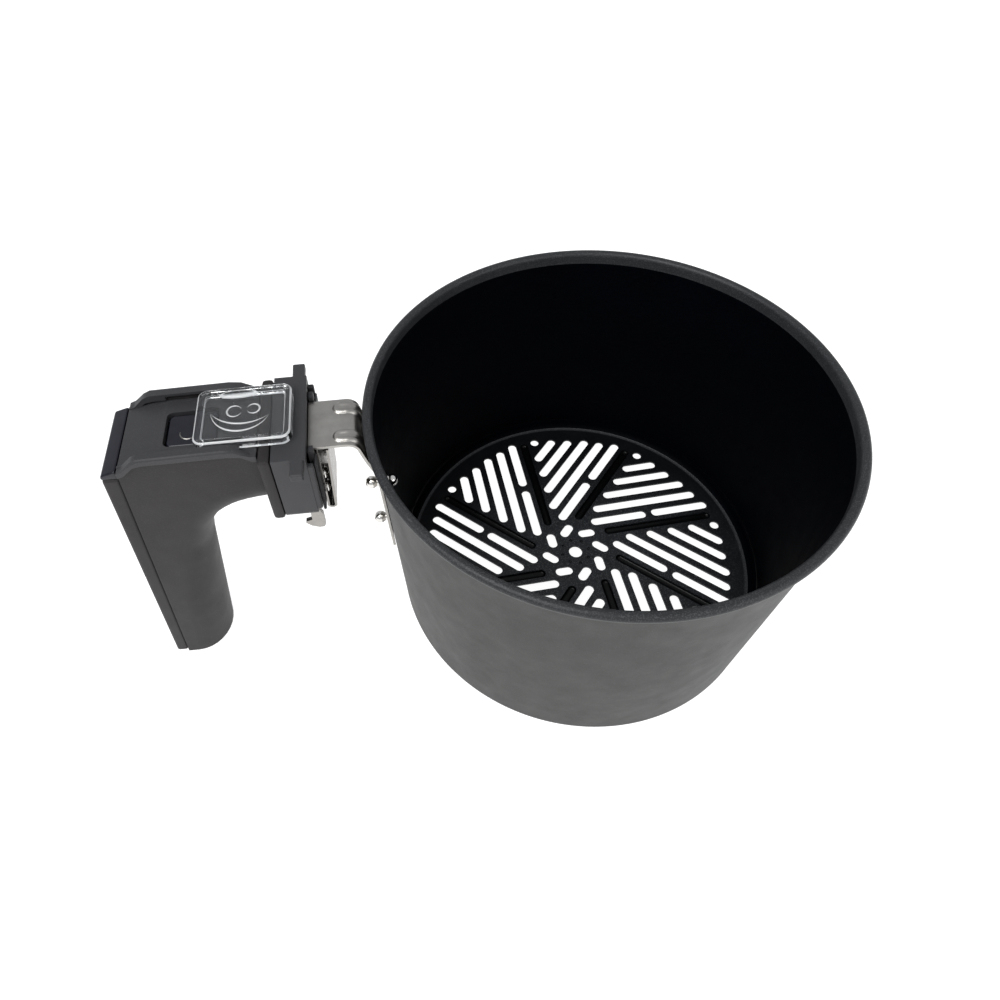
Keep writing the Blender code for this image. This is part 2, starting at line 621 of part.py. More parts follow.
def make_latch_channel():
    """Steel strip folded to a narrow U behind the housing."""
    top_z, foot_z, leg_t = 127.0, 87.4, CHANNEL_LEG_T
    front, rear = CHANNEL_LEG_X
    fold = (-119.9, foot_z + 2.2)
    outer = [(rear, top_z - 1.0), (rear - 1.2, foot_z + 4)] + arc(fold, 2.2, -20, -170, 5)
    inner = arc(fold, 2.2 - leg_t, -170, -20, 5) + [(rear - leg_t - 1.2, foot_z + 4)]
    outline = outer + [(front, foot_z + 3.5), (front, top_z), (front + leg_t, top_z)]
    outline += [(front + leg_t, foot_z + 3.5)] + inner + [(rear - leg_t, top_z - 1.0)]
    channel = plate("latch_channel", outline, (-12.4, 12.4), SATIN_STEEL)
    for z in CHANNEL_SCREW_Z:
        for side in (-1, 1):
            cut(channel, rod(f"channel_bore_{z}_{side}", 1.6, (-123, side * CHANNEL_SCREW_Y, z),
                             (-119.8, side * CHANNEL_SCREW_Y, z), sides=16))
    return channel


def make_screw(name, head, end, head_r=2.5, head_h=1.6, shank_r=1.25):
    """Round-headed screw; head is the point under its head and end the tip of its shank."""
    head, end = Vector(head), Vector(end)
    length = (end - head).length
    profile = [(0, head_h), (head_r * 0.55, head_h * 0.92), (head_r * 0.9, head_h * 0.5), (head_r, 0)]
    profile += [(shank_r, 0), (shank_r, -length), (0, -length)]
    screw = turned(name, profile, 12, POLISHED_STEEL)
    screw.location = head * 0.001
    screw.rotation_euler = (head - end).to_track_quat("Z", "Y").to_euler()
    return screw


def make_screws():
    for row, z in enumerate(CHANNEL_SCREW_Z):
        for side, word in ((-1, "near"), (1, "far")):
            y = side * CHANNEL_SCREW_Y
            make_screw(f"channel_screw_{row + 1}_{word}", (-120.6, y, z), (-124.0, y, z),
                       head_r=2.6, head_h=1.8)
    for side, word in ((-1, "near"), (1, "far")):
        under = STRAP_TOP_Z - STRAP_T - GAP
        make_screw(f"bracket_screw_{word}", bracket_screw(side, under), bracket_screw(side, 133.0),
                   head_r=3.0, head_h=1.8, shank_r=1.5)


# Release mechanism

def make_button():
    """Push button in the recess; its stem reaches down to the lever."""
    origin = (BUTTON_X, 0, BUTTON_TOP_Z)
    button = box("release_button", (BUTTON_X - BUTTON_L / 2, BUTTON_X + BUTTON_L / 2),
                 (-BUTTON_W / 2, BUTTON_W / 2), (BUTTON_TOP_Z - BUTTON_H, BUTTON_TOP_Z),
                 GLOSS_PLASTIC, origin)
    bevel_edges(button, 2.2, 4, lambda e: abs(e.verts[0].co.z - e.verts[1].co.z) > mm(3))
    bevel_edges(button, 0.7, 2, lambda e: min(v.co.z for v in e.verts) > mm(-0.1))
    stem = rod("button_stem", STEM_R, (BUTTON_X, 0, BUTTON_TOP_Z - BUTTON_H + 1),
               (BUTTON_X, 0, STEM_FOOT_Z))
    add(button, stem)
    return button


def make_spring():
    """Return spring between the shelf and the button."""
    foot = SHELF_Z[1] + GAP + SPRING_WIRE_R
    top = BUTTON_TOP_Z - BUTTON_H - GAP - SPRING_WIRE_R
    per_turn = 12
    count = int(SPRING_TURNS * per_turn)
    curve = bpy.data.curves.new("button_spring", "CURVE")
    curve.dimensions = "3D"
    curve.bevel_depth = mm(SPRING_WIRE_R)
    curve.bevel_resolution = 1
    curve.use_fill_caps = True
    spline = curve.splines.new("POLY")
    spline.points.add(count)
    for i, point in enumerate(spline.points):
        angle = 2 * pi * i / per_turn
        z = foot + (top - foot) * i / count
        point.co = (mm(BUTTON_X + SPRING_R * cos(angle)), mm(SPRING_R * sin(angle)), mm(z), 1)
    return curve_to_mesh("button_spring", curve, Matrix.Identity(4), SATIN_STEEL)


def make_lever():
    """T-shaped steel lever on the pivot pin, with a hook hanging from each side."""
    origin = (PIVOT_X, 0, PIVOT_Z)
    low = LEVER_TOP_Z - LEVER_T
    lever = box("latch_lever", (-174.5, -128.0), (-6.0, 6.0), (low, LEVER_TOP_Z), SATIN_STEEL, origin)
    add(lever, box("lever_bar", (-132.0, -125.7), (-PRONG_Y[0] - 0.5, PRONG_Y[0] + 0.5), (low, LEVER_TOP_Z)))
    hook = arc((PIVOT_X, PIVOT_Z), 3.6, -30, 150, 8)
    hook += [(-131.4, 113.5), (-131.4, 108.0), (-128.8, 104.0), (-128.8, 89.0), (-131.6, 88.0),
             (-131.8, 87.0), (-129.6, 84.6), (-126.4, 83.0), (-124.2, 83.2), (-123.4, 85.0), (-123.5, 92.5),
             (-124.9, 96.5), (-124.9, 109.0)]
    for side in (-1, 1):
        y = sorted((side * PRONG_Y[0], side * PRONG_Y[1]))
        prong = plate(f"lever_prong_{side}", hook, y)
        add(lever, prong)
    cut(lever, rod("lever_bore", PIVOT_R + 0.25, (PIVOT_X, -22, PIVOT_Z), (PIVOT_X, 22, PIVOT_Z)))
    return lever


def make_pivot_pin():
    end = FLANGE_Y - 1.0 - GAP
    return rod("pivot_pin", PIVOT_R, (PIVOT_X, -end, PIVOT_Z), (PIVOT_X, end, PIVOT_Z), POLISHED_STEEL)


def make_guard():
    """Clear sliding guard over the button: hollow, with lugs in the rail grooves and a thumb grip on top."""
    guard = box("button_guard", GUARD_X, (-GUARD_Y, GUARD_Y), GUARD_Z, CLEAR_PLASTIC)
    bevel_edges(guard, 4.0, 4, lambda e: abs(e.verts[0].co.z - e.verts[1].co.z) > mm(3))
    bevel_edges(guard, 0.9, 2, lambda e: min(v.co.z for v in e.verts) > mm(GUARD_Z[1] - 0.05))
    add(guard, box("guard_lugs", (-165.0, -151.0), (-16.4, 16.4), GUARD_LUG_Z))
    pocket = box("guard_pocket", (GUARD_X[0] + 2.6, GUARD_X[1] - 2.6), (-GUARD_Y + 2.6, GUARD_Y - 2.6),
                 (GUARD_Z[0] - 1, GUARD_Z[1] - 2.0))
    bevel_edges(pocket, 2.0, 3, lambda e: abs(e.verts[0].co.z - e.verts[1].co.z) > mm(3))
    cut(guard, pocket)
    builder = bmesh.new()
    bmesh.ops.create_uvsphere(builder, u_segments=8, v_segments=16, radius=1,
                              matrix=Matrix.Diagonal((mm(2.4), mm(1.4), mm(8.0), 1)))
    bmesh.ops.rotate(builder, verts=builder.verts, matrix=Matrix.Rotation(pi / 2, 3, "X"))
    bmesh.ops.rotate(builder, verts=builder.verts, matrix=Matrix.Rotation(pi / 2, 3, "Z"))
    thumb_grip = from_bmesh("guard_thumb_grip", builder)
    thumb_grip.location = Vector((-151.0, 10.4, GUARD_Z[1] - 0.2)) * 0.001
    add(guard, thumb_grip)
    return guard


make_basket_shell()
make_basket_floor()
make_bracket()
make_rivets()
make_handle_shell()
make_fascia()
make_end_trim()
make_top_cover()
make_collar()
make_latch_housing()
make_latch_channel()
make_screws()
make_button()
make_spring()
make_lever()
make_pivot_pin()
make_guard()
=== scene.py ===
"""Looks of the air fryer basket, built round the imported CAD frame."""
from math import cos, pi, radians, sin, sqrt

import bmesh
import bpy
from mathutils import Matrix, Quaternion, Vector


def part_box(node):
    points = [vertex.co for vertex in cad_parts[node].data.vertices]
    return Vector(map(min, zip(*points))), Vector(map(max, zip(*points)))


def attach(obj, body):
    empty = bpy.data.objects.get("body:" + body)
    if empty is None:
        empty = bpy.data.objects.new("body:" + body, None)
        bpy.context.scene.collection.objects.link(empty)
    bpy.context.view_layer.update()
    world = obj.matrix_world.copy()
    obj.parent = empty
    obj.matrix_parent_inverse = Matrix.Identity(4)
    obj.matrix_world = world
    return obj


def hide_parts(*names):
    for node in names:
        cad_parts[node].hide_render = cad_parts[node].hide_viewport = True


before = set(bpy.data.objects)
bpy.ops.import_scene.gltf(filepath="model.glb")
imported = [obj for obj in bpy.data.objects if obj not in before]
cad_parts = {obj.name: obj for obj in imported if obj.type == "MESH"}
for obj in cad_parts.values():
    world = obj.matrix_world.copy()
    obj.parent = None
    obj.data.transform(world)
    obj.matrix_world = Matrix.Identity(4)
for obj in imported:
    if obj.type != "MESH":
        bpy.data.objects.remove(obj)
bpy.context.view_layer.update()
bpy.context.scene.view_settings.view_transform = "Standard"

MM = 0.001

# The basket's own axes: its axis stands in the middle of the shell, and its foot is the shell's lowest edge
SHELL_LOW, SHELL_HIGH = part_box("basket_shell")
AXIS = Vector(((SHELL_LOW.x + SHELL_HIGH.x) / 2, 0, SHELL_LOW.z))

# Basket, millimetres from that axis and foot
RIM_R = (SHELL_HIGH.x - SHELL_LOW.x) / 2 / MM
RIM_Z = (SHELL_HIGH.z - SHELL_LOW.z) / MM
LIP_R = 2.1
WALL_TOP_R, WALL_TOP_Z, WALL_FOOT_R = 99.2, 124.6, 91.9
SHEET, FOOT_FILLET, FOOT_TURN = 0.9, 4.5, 58.0
FLOOR_Z, FLOOR_SHEET, FLOOR_FILLET_R, FLOOR_FILLET = 9.8, 1.0, 86.4, 4.0
SECTORS, SLOT_W, SLOT_ANGLE, CENTRE_HOLE_R = 8, 4.8, 93.8, 3.5
SLOT_PITCH, SLOT_ROW_0 = 8.16, 17.0
SLOT_ENDS = ((13.7, 44.9), (17.3, 75.9), (25.6, 72.4), (34.1, 66.9), (42.3, 61.7), (51.2, 56.0))
OUTER_SLOT_ENDS, SMALL_SLOT = (48.1, 79.9), (10.6, 4.6, 13.7)
GROOVE_OFFSET, GROOVE_START, GROOVE_END, GROOVE_W, GROOVE_DEPTH = 9.8, 19.0, 79.0, 4.6, 1.9
DIMPLE_CIRCLE_R, DIMPLE_R = 7.3, 0.9
# The floor's turned-up edge is painted: a lighter ring from the first radius, a painted highlight, and a
# black band past the second, a painted dark reflection of the wall
FLOOR_PAINTED_HIGHLIGHT_R, FLOOR_PAINTED_REFLECTION_R = 87.0, 88.5
GAP = 0.3
STRAP_Y, STRAP_T, STRAP_TOP_Z, STRAP_END_X = 12.85, 1.2, 128.8, -150.0
STRAP_BEND_R, STRAP_BEND_X, STRAP_SLOPE, STRAP_MEETS_WALL_Z = 5.5, -109.0, 20.0, 107.0
RIB_HEIGHT, RIB_Y, RIB_HALF_WIDTH, RIB_START, RIB_LENGTH = 0.95, 7.8, 3.1, 35.8, 17.0
PAD_FOOT_Z = 53.0
RIVET_Z = {"upper": 87.0, "lower": 59.5}

# Clear guard and the mark on the button, millimetres
GUARD_TOP, GUARD_HALF_Y, GUARD_CORNER, GUARD_EDGE, GUARD_WALL, GUARD_ROOF = 139.6, 15.0, 4.2, 1.3, 2.6, 2.0
POCKET_CORNER, POCKET_EDGE = 2.2, 0.9
BUTTON_MARK_R, BUTTON_MARK_WIRE, BUTTON_MARK_AT = 3.4, 0.35, Vector((-1.5, -1.8, 0))

# Camera, in millimetres of the part's own frame
CAMERA_AT = Vector((-26.67, -213.52, 381.77))
CAMERA_LOOKS_AT = Vector((-14.48, 29.67, 82.6))
CAMERA_ROLL = -3.19
CAMERA_LENS, CAMERA_SENSOR = 27.37, 36.0
CAMERA_SHIFT = (0.0683, -0.0371)


# Materials

def shader_tree(name):
    material = bpy.data.materials.new(name)
    material.use_nodes = True
    nodes, links = material.node_tree.nodes, material.node_tree.links
    return material, nodes, links, nodes["Principled BSDF"]


def noise(nodes, links, where, scale, detail=4.0, roughness=0.6):
    texture = nodes.new("ShaderNodeTexNoise")
    texture.inputs["Scale"].default_value = scale
    texture.inputs["Detail"].default_value = detail
    texture.inputs["Roughness"].default_value = roughness
    links.new(where, texture.inputs["Vector"])
    return texture.outputs["Fac"]


def spread(nodes, links, value, low, high, to_low, to_high):
    """Maps a value from one range to another, clamped."""
    node = nodes.new("ShaderNodeMapRange")
    for socket, number in zip(("From Min", "From Max", "To Min", "To Max"), (low, high, to_low, to_high)):
        node.inputs[socket].default_value = number
    links.new(value, node.inputs["Value"])
    return node.outputs["Result"]


def mixed(nodes, links, share, first, second):
    """Blends two colours by a 0 to 1 value; either can be a colour or a socket."""
    node = nodes.new("ShaderNodeMix")
    node.data_type = "RGBA"
    links.new(share, node.inputs["Factor"])
    for socket, colour in ((node.inputs[6], first), (node.inputs[7], second)):
        if isinstance(colour, tuple):
            socket.default_value = (*colour, 1)
        else:
            links.new(colour, socket)
    return node.outputs[2]


def bumped(nodes, links, shader, height, distance, strength=1.0, base=None):
    node = nodes.new("ShaderNodeBump")
    node.inputs["Distance"].default_value = distance
    node.inputs["Strength"].default_value = strength
    links.new(height, node.inputs["Height"])
    if base is not None:
        links.new(base, node.inputs["Normal"])
    links.new(node.outputs["Normal"], shader.inputs["Normal"])
    return node.outputs["Normal"]


def object_space(nodes, links, stretch=(1, 1, 1)):
    where = nodes.new("ShaderNodeTexCoord").outputs["Object"]
    if stretch == (1, 1, 1):
        return where
    mapping = nodes.new("ShaderNodeMapping")
    mapping.inputs["Scale"].default_value = stretch
    links.new(where, mapping.inputs["Vector"])
    return mapping.outputs["Vector"]


def coated(name, dark, light, speck, roughness, grain_scale, speck_share, bump, specular, metallic=0.0):
    """A sprayed or moulded surface: slow mottling, fine grain, a few brighter specks and uneven gloss."""
    material, nodes, links, shader = shader_tree(name)
    where = object_space(nodes, links)
    mottle = spread(nodes, links, noise(nodes, links, where, 35, 3), 0.3, 0.7, 0, 1)
    base = mixed(nodes, links, mottle, dark, light)
    grain = noise(nodes, links, where, grain_scale, 2, 0.5)
    specks = spread(nodes, links, noise(nodes, links, where, grain_scale * 0.8, 1, 0.4),
                    1 - speck_share - 0.06, 1 - speck_share + 0.02, 0, 1)
    links.new(mixed(nodes, links, specks, base, speck), shader.inputs["Base Color"])
    worn = noise(nodes, links, where, 90, 5)
    links.new(spread(nodes, links, worn, 0.25, 0.75, roughness - 0.06, roughness + 0.06),
              shader.inputs["Roughness"])
    bumped(nodes, links, shader, grain, bump)
    shader.inputs["Metallic"].default_value = metallic
    shader.inputs["Specular IOR Level"].default_value = specular
    return material


def steel(name, colour, roughness, grain, stretch=(1, 1, 1), scratch=0.00002):
    """Bare steel with a drawn grain, faint smudges and fine scratches."""
    material, nodes, links, shader = shader_tree(name)
    where = object_space(nodes, links)
    drawn = noise(nodes, links, object_space(nodes, links, stretch), grain, 5, 0.7)
    smudge = noise(nodes, links, where, 120, 4)
    darker = tuple(0.72 * c for c in colour)
    links.new(mixed(nodes, links, spread(nodes, links, smudge, 0.3, 0.75, 0, 1), colour, darker),
              shader.inputs["Base Color"])
    links.new(spread(nodes, links, drawn, 0.25, 0.75, roughness - 0.07, roughness + 0.1),
              shader.inputs["Roughness"])
    bumped(nodes, links, shader, drawn, scratch)
    shader.inputs["Metallic"].default_value = 1.0
    return material


def gloss(name, colour, roughness):
    """Polished black plastic with faint swirl marks."""
    material, nodes, links, shader = shader_tree(name)
    where = object_space(nodes, links)
    haze = noise(nodes, links, where, 220, 6, 0.7)
    lighter = tuple(c * 1.8 + 0.002 for c in colour)
    links.new(mixed(nodes, links, spread(nodes, links, haze, 0.35, 0.7, 0, 1), colour, lighter),
              shader.inputs["Base Color"])
    links.new(spread(nodes, links, haze, 0.3, 0.75, roughness, roughness + 0.1), shader.inputs["Roughness"])
    bumped(nodes, links, shader, noise(nodes, links, where, 900, 2), 0.000006)
    shader.inputs["Specular IOR Level"].default_value = 0.4
    return material


def clear(name, roughness):
    """Clear moulded plastic with flow marks and handling haze."""
    material, nodes, links, shader = shader_tree(name)
    where = object_space(nodes, links)
    flow = noise(nodes, links, where, 75, 3)
    haze = noise(nodes, links, where, 500, 4)
    links.new(mixed(nodes, links, haze, (0.93, 0.95, 0.96), (0.99, 0.99, 0.99)), shader.inputs["Base Color"])
    links.new(spread(nodes, links, haze, 0.35, 0.75, roughness, roughness + 0.06), shader.inputs["Roughness"])
    bumped(nodes, links, shader, flow, 0.0004, 0.5)
    shader.inputs["Transmission Weight"].default_value = 1.0
    shader.inputs["IOR"].default_value = 1.49
    return material


def paint_floor_shade(material):
    """Paints shade into the floor's coat, where the wall's shade falls: darker away from a point near its
    middle, as far as its edge.
    """
    nodes, links = material.node_tree.nodes, material.node_tree.links
    shader = nodes["Principled BSDF"]
    away = nodes.new("ShaderNodeVectorMath")
    away.operation = "DISTANCE"
    away.inputs[1].default_value = AXIS + Vector((0.004, -0.03, 0.0098))
    links.new(object_space(nodes, links), away.inputs[0])
    painted_shade_share = spread(nodes, links, away.outputs["Value"], 0.045, 0.1, 0, 1)
    plain = shader.inputs["Base Color"].links[0].from_socket
    # The darkest painted shade, at the floor's edge
    links.new(mixed(nodes, links, painted_shade_share, plain, (0.003, 0.0035, 0.0045)), shader.inputs["Base Color"])


OUTER_COAT = coated("outer_coat", (0.034, 0.034, 0.0327), (0.039, 0.039, 0.0374), (0.047, 0.047, 0.0452),
                    roughness=0.55, grain_scale=2600, speck_share=0.36, bump=0.00002, specular=0.3,
                    metallic=0.2)
# The inner coat also paints a dark reflection of the wall on the floor's turned-up edge
INNER_COAT_AND_PAINTED_REFLECTION = coated("inner_coat_and_painted_reflection", (0.0002, 0.0004, 0.0012), (0.0004, 0.0007, 0.0018), (0.0015, 0.002, 0.003),
                    roughness=0.6, grain_scale=2300, speck_share=0.38, bump=0.00002, specular=0.025)
# The rim coat also paints a highlight ring on the floor's turned-up edge
RIM_COAT_AND_PAINTED_HIGHLIGHT = coated("rim_coat_and_painted_highlight", (0.015, 0.016, 0.0175), (0.02, 0.0215, 0.023), (0.042, 0.044, 0.047),
                  roughness=0.42, grain_scale=2600, speck_share=0.4, bump=0.00004, specular=0.28)
FLOOR_COAT = coated("floor_coat", (0.01, 0.0115, 0.014), (0.014, 0.0165, 0.02), (0.06, 0.065, 0.07),
                    roughness=0.42, grain_scale=2600, speck_share=0.38, bump=0.00006, specular=0.3)
# Painted shade on the floor, darker towards its edge
paint_floor_shade(FLOOR_COAT)
# Painted shade in the floor's pressed troughs: their sloped sides and bottoms take a near-black colour
PAINTED_TROUGH_SHADE = coated("painted_trough_shade", (0.0008, 0.0009, 0.0012), (0.0012, 0.0014, 0.0017),
                     (0.003, 0.0033, 0.0037),
                     roughness=0.3, grain_scale=2600, speck_share=0.4, bump=0.00003, specular=0.15)
BODY_PLASTIC = coated("body_plastic", (0.0198, 0.0178, 0.018), (0.023, 0.0209, 0.0211),
                      (0.028, 0.0257, 0.0259),
                      roughness=0.52, grain_scale=3000, speck_share=0.36, bump=0.00002, specular=0.22)
COVER_PLASTIC = coated("cover_plastic", (0.031, 0.031, 0.0335), (0.036, 0.036, 0.039), (0.044, 0.044, 0.047),
                       roughness=0.45, grain_scale=3000, speck_share=0.36, bump=0.000015, specular=0.28)
GLOSS_PLASTIC = gloss("gloss_plastic", (0.003, 0.003, 0.007), 0.09)
SATIN_STEEL = steel("satin_steel", (0.44, 0.425, 0.4), 0.33, 500, (0.15, 1, 1), 0.000012)
LATCH_STEEL = steel("latch_steel", (0.36, 0.345, 0.325), 0.28, 600, (1, 1, 0.2), 0.00001)
POLISHED_STEEL = steel("polished_steel", (0.82, 0.8, 0.77), 0.1, 700)
CLEAR_PLASTIC = clear("clear_plastic", 0.02)
# Painted highlight: a less clear, whitish plastic for the guard's rounded edges and raised mark, where lights
# would glint
FROSTED_PAINTED_HIGHLIGHT = clear("frosted_painted_highlight", 0.22)
FROSTED_PAINTED_HIGHLIGHT.node_tree.nodes["Principled BSDF"].inputs["Transmission Weight"].default_value = 0.55


# Mesh helpers

def new_piece(name, builder, body, slot, materials, node=None, smooth=35):
    """Turns a bmesh into a piece that rides on a body, and can stand for a CAD node."""
    mesh = bpy.data.meshes.new(name)
    builder.to_mesh(mesh)
    builder.free()
    for material in materials:
        mesh.materials.append(material)
    mesh.shade_smooth()
    mesh.set_sharp_from_angle(angle=radians(smooth))
    piece = bpy.data.objects.new(name, mesh)
    bpy.context.scene.collection.objects.link(piece)
    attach(piece, body)
    if node:
        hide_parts(node)
    return piece


def soften(piece, width, segments=3, angle=32):
    """Rounds the sharp edges and evens out the shading of the flats beside them."""
    step = piece.modifiers.new("soften", "BEVEL")
    step.width = width * MM
    step.segments = segments
    step.limit_method = "ANGLE"
    step.angle_limit = radians(angle)
    step.use_clamp_overlap = True
    step.miter_outer = "MITER_ARC"
    step.harden_normals = False
    even = piece.modifiers.new("even", "WEIGHTED_NORMAL")
    even.weight = 80
    even.keep_sharp = True
    return piece


def refine(node, body, slot, material, width=0.3, segments=3):
    """A copy of a CAD node's shape with softened edges and its own finish."""
    builder = bmesh.new()
    builder.from_mesh(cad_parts[node].data)
    bmesh.ops.remove_doubles(builder, verts=builder.verts, dist=0.000004)
    bmesh.ops.dissolve_limit(builder, angle_limit=radians(0.6), verts=builder.verts, edges=builder.edges)
    bmesh.ops.recalc_face_normals(builder, faces=builder.faces)
    for face in builder.faces:
        face.material_index = 0
    piece = new_piece(node + "_fine", builder, body, slot, [material], node)
    return soften(piece, width, segments)


def arc(centre, radius, start, end, count):
    """Points along an arc between two angles in degrees, both ends included."""
    angles = (radians(start + (end - start) * i / count) for i in range(count + 1))
    return [(centre[0] + radius * cos(a), centre[1] + radius * sin(a)) for a in angles]


def revolve(builder, profile, steps, closed=True, centre=(0, 0), place=Matrix.Identity(4), tag=None):
    """Turns (radius, z) points about Z; tag(i) gives the material index of the band below point i."""
    rings = []
    for r, z in profile:
        if r == 0:
            rings.append([builder.verts.new(place @ Vector((centre[0], centre[1], z)))])
            continue
        rings.append([builder.verts.new(place @ Vector((centre[0] + r * cos(2 * pi * i / steps),
                                                        centre[1] + r * sin(2 * pi * i / steps), z)))
                      for i in range(steps)])
    pairs = list(zip(rings, rings[1:])) + ([(rings[-1], rings[0])] if closed else [])
    for index, (upper, lower) in enumerate(pairs):
        for i in range(steps):
            j = (i + 1) % steps
            loop = [upper[i % len(upper)], lower[i % len(lower)]]
            loop += [lower[j % len(lower)], upper[j % len(upper)]]
            corners = [vert for k, vert in enumerate(loop) if vert not in loop[:k]]
            face = builder.faces.new(corners)
            face.material_index = tag(index) if tag else 0
    bmesh.ops.recalc_face_normals(builder, faces=builder.faces)


def wall_r(z):
    """Outer radius of the tapered wall at a height above the foot."""
    return WALL_FOOT_R + (WALL_TOP_R - WALL_FOOT_R) * z / WALL_TOP_Z


PLACE = Matrix.Translation(AXIS) @ Matrix.Scale(MM, 4)


# Basket

def make_shell():
    """Wall with its rolled rim: grey outside, black inside, speckled rim."""
    lip = (RIM_R - LIP_R, RIM_Z - LIP_R)
    foot = (wall_r(FOOT_FILLET) - FOOT_FILLET, FOOT_FILLET * sin(radians(FOOT_TURN)))
    rim = arc(lip, LIP_R, 165, -100, 20)
    outside = [(lip[0] + 0.1, lip[1] - LIP_R - 0.35), (lip[0] - 0.7, lip[1] - LIP_R - 0.95)]
    outside += [(wall_r(119), 119)]
    outside += [(wall_r(z), z) for z in (90, 60, 30, 12)] + arc(foot, FOOT_FILLET, 0, -FOOT_TURN, 10)
    outside += [(foot[0] + 1.9, 0), (foot[0] + 1.75, 0.2), (foot[0] + 1.8, 0.5)]
    inside = arc(foot, FOOT_FILLET - SHEET, -FOOT_TURN, 0, 8)
    inside += [(wall_r(z) - SHEET, z) for z in (12, 30, 60, 90, 117)]
    inside += [(wall_r(WALL_TOP_Z) - SHEET + 0.15, WALL_TOP_Z - 1.5), (lip[0] - LIP_R - 0.1, lip[1] - 0.6)]
    profile = rim + outside + inside

    def tag(index):
        if index < len(rim) + 1 or index >= len(profile) - 2:
            return 2
        return 0 if index < len(rim) + len(outside) - 1 else 1

    builder = bmesh.new()
    revolve(builder, profile, 224, place=PLACE, tag=tag)
    new_piece("basket_shell_fine", builder, "basket", "shell_coating", [OUTER_COAT, INNER_COAT_AND_PAINTED_REFLECTION, RIM_COAT_AND_PAINTED_HIGHLIGHT],
              "basket_shell", 50)


def sector_turn(sector):
    return Matrix.Rotation(radians(SLOT_ANGLE - sector * 360 / SECTORS), 4, "Z")


def add_slot(builder, sector, offset, start, end, count=10):
    """A round-ended prism through the floor, parallel to its sector's direction."""
    radius = SLOT_W / 2
    outline = arc((end - radius, offset), radius, -90, 90, count)
    outline += arc((start + radius, offset), radius, 90, 270, count)
    turn = PLACE @ sector_turn(sector)
    low = [builder.verts.new(turn @ Vector((a, b, FLOOR_Z - 4))) for a, b in outline]
    high = [builder.verts.new(turn @ Vector((a, b, FLOOR_Z + 2))) for a, b in outline]
    builder.faces.new(low[::-1])
    builder.faces.new(high)
    for i in range(len(low)):
        j = (i + 1) % len(low)
        builder.faces.new((low[i], low[j], high[j], high[i]))


def add_groove(builder, sector, width, depth, top, cap):
    """A pressed trough: a sphere pulled out to a capsule, flattened, and cut level above."""
    made = bmesh.ops.create_uvsphere(builder, u_segments=24, v_segments=15, radius=1)["verts"]
    turn = PLACE @ sector_turn(sector)
    stand = Matrix.Rotation(pi / 2, 4, "Y")
    for vert in made:
        point = stand @ vert.co
        end = GROOVE_END - width / 2 if point.x > 0 else GROOVE_START + width / 2
        fall = -abs(point.z) ** 0.6 if point.z < 0 else min(point.z, cap)
        vert.co = turn @ Vector((end + point.x * width / 2, GROOVE_OFFSET + point.y * width / 2,
                                 top + fall * depth))


def hidden(name, builder):
    """A plain object from a bmesh, to cut with or to be cut."""
    mesh = bpy.data.meshes.new(name)
    builder.to_mesh(mesh)
    builder.free()
    made = bpy.data.objects.new(name, mesh)
    bpy.context.scene.collection.objects.link(made)
    return made


def bake_booleans(piece, steps):
    """Applies boolean steps one by one and removes their tools."""
    for operation, tool in steps:
        step = piece.modifiers.new("step", "BOOLEAN")
        step.operation = operation
        step.solver = "EXACT"
        step.object = tool
    evaluated = piece.evaluated_get(bpy.context.evaluated_depsgraph_get())
    mesh = bpy.data.meshes.new_from_object(evaluated)
    piece.modifiers.clear()
    piece.data = mesh
    for _, tool in steps:
        bpy.data.objects.remove(tool)
    return piece


